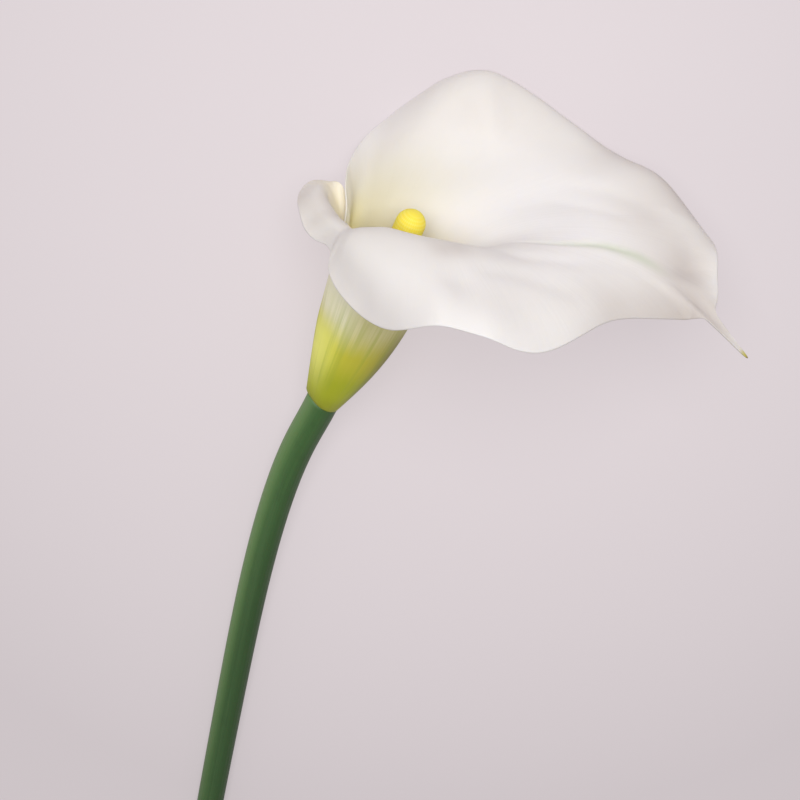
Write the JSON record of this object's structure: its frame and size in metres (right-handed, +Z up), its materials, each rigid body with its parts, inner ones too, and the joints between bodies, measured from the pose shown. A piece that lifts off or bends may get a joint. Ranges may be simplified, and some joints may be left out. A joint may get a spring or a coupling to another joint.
{
  "type": "calla lily flower",
  "caption": "Cut calla lily: a white spathe rolled into a flaring funnel with a pointed tail, a yellow spadix inside and a bare green stem, lying on a surface.",
  "frame": {"origin": "middle of the bounding box in X and Y, on the surface that the flower lies on", "axes": "+Z up from that surface, +Y along the stem towards the bloom, +X towards the side that the spathe's tail points to"},
  "size_m": [0.1772, 0.3336, 0.1014],
  "materials": {
    "spathe": "ivory white petal with a soft satin sheen, yellow-green towards the base of the tube",
    "spadix": "matt golden yellow, finely granular",
    "stem": "smooth dark green with a low sheen, pale at the cut"
  },
  "bodies": {
    "root": {"spathe": "spathe", "spadix": "spadix", "stem": "stem"}
  },
  "joints": []
}
